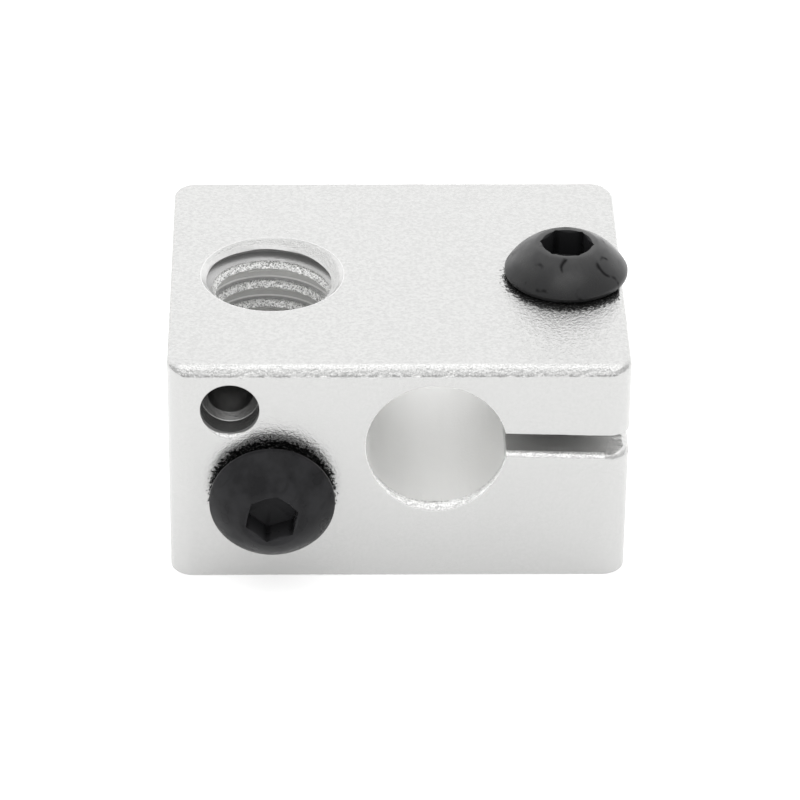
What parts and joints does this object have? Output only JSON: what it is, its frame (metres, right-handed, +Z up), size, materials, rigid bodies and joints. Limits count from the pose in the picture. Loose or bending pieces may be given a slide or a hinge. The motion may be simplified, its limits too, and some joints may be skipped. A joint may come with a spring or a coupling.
{
  "type": "hotend heater block",
  "caption": "Clamp-style aluminium heater block with a slit heater bore, a nozzle thread, a stepped thermistor hole and button-head screws.",
  "frame": {"origin": "where the axis of the M6 nozzle thread meets the block's underside", "axes": "+Z up the nozzle thread, +X towards the heater bore and clamp screw, -Y out of the face with the thermistor hole"},
  "size_m": [0.0202, 0.0181, 0.0123],
  "materials": {
    "blasted_aluminium": "fine bead-blasted, satin",
    "black_oxide_steel": "black oxide, satin"
  },
  "bodies": {
    "block": {"heater_block": "blasted_aluminium"},
    "clamp_screw": {"clamp_screw": "black_oxide_steel"},
    "thermistor_screw": {"thermistor_screw": "black_oxide_steel"}
  },
  "joints": [
    {"name": "clamp_screw_travel", "type": "slide", "parent": "block", "child": "clamp_screw", "axis": [0, 0, 1], "range_m": [0, 0.005]},
    {"name": "thermistor_screw_travel", "type": "slide", "parent": "block", "child": "thermistor_screw", "axis": [0, -1, 0], "range_m": [-0.0005, 0.003]}
  ]
}
